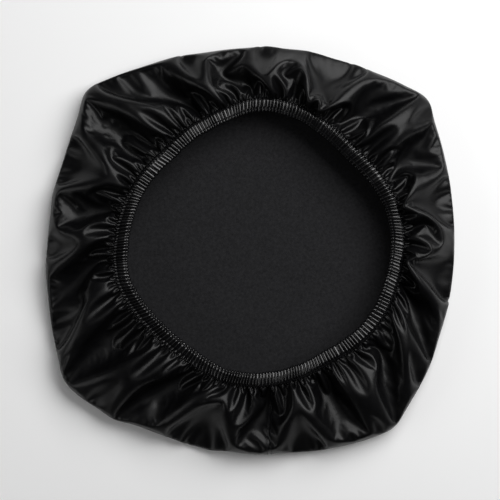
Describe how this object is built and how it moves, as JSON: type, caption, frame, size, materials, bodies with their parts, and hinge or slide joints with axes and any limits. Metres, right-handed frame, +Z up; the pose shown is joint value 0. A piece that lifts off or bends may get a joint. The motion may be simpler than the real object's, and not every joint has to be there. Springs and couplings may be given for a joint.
{
  "type": "spare tire cover",
  "caption": "Soft round slip-on cover for a spare tire, with a piped face, a lined side band and a gathered elastic mouth, shown lying empty on its face.",
  "frame": {"origin": "on the surface that the cover lies on, under the middle of the laid-out cover", "axes": "+Z up out of the mouth, through the thin way; +Y towards the top of the view into the mouth; +X to its right"},
  "size_m": [0.7358, 0.7313, 0.0767],
  "materials": {
    "vinyl": "satin black artificial leather with a fine grain",
    "lining": "matt charcoal brushed backing cloth",
    "cord": "black twisted piping cord",
    "binding": "matt black woven tape",
    "elastic": "black ribbed woven elastic",
    "thread": "black bonded sewing thread"
  },
  "bodies": {
    "cover": {"face_panel": "vinyl", "face_lining": "lining", "piping_cover": "vinyl", "piping_cord": "cord", "face_seam_binding": "binding", "face_seam_stitch": "thread", "side_band": "vinyl", "side_band_lining": "lining", "band_seam_tape": "binding", "band_seam_stitch": "thread"},
    "hem": {"hem_casing": "vinyl", "hem_elastic": "elastic", "elastic_lap_stitch": "thread", "hem_outer_stitch": "thread", "hem_inner_stitch": "thread"}
  },
  "joints": [
    {"name": "hem_lift", "type": "slide", "parent": "cover", "child": "hem", "axis": [0, 0, 1], "range_m": [0, 0.1], "deforming": ["side_band", "side_band_lining", "band_seam_tape", "band_seam_stitch"]}
  ]
}
